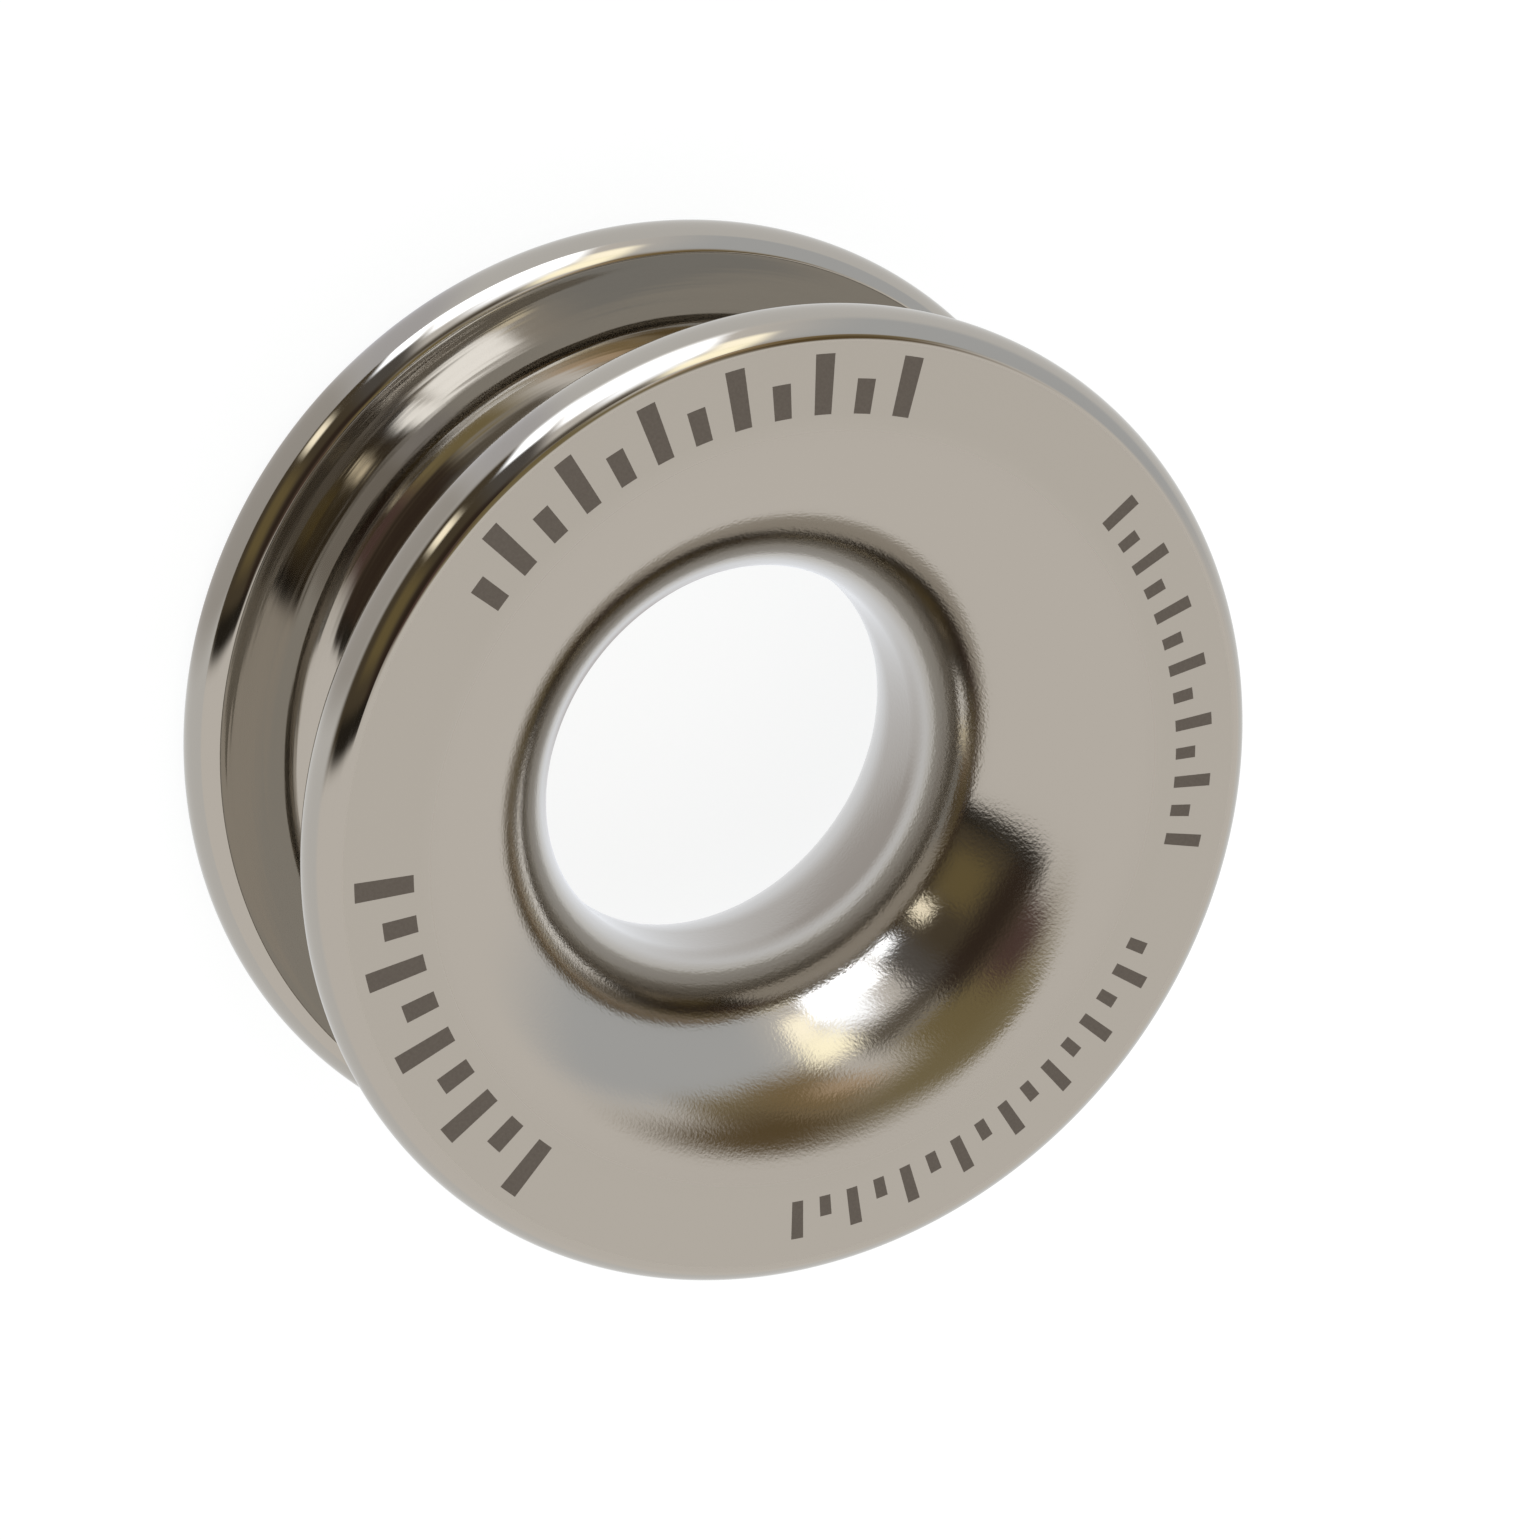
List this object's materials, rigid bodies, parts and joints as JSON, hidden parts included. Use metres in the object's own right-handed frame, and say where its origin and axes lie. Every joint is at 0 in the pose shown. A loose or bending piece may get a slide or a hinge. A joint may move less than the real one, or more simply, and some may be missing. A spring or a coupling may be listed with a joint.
{
  "type": "low friction ring",
  "caption": "Turned titanium low friction ring: a line slides through its polished trumpet bore while a lashing in the deep outer groove holds it.",
  "frame": {"origin": "centre of the back face, on the ring's axis, where the ring lies on a flat surface", "axes": "+Z along the ring's axis, from the back face that it lies on to the front face. The solid is round, so X and Y may be any two directions across it"},
  "size_m": [0.0318, 0.0318, 0.0132],
  "materials": {
    "titanium": "turned titanium: satin flat faces, polished rims, trumpet bore and groove, with dark laser-etched marks on the front face"
  },
  "bodies": {
    "root": {"ring": "titanium"}
  },
  "joints": []
}
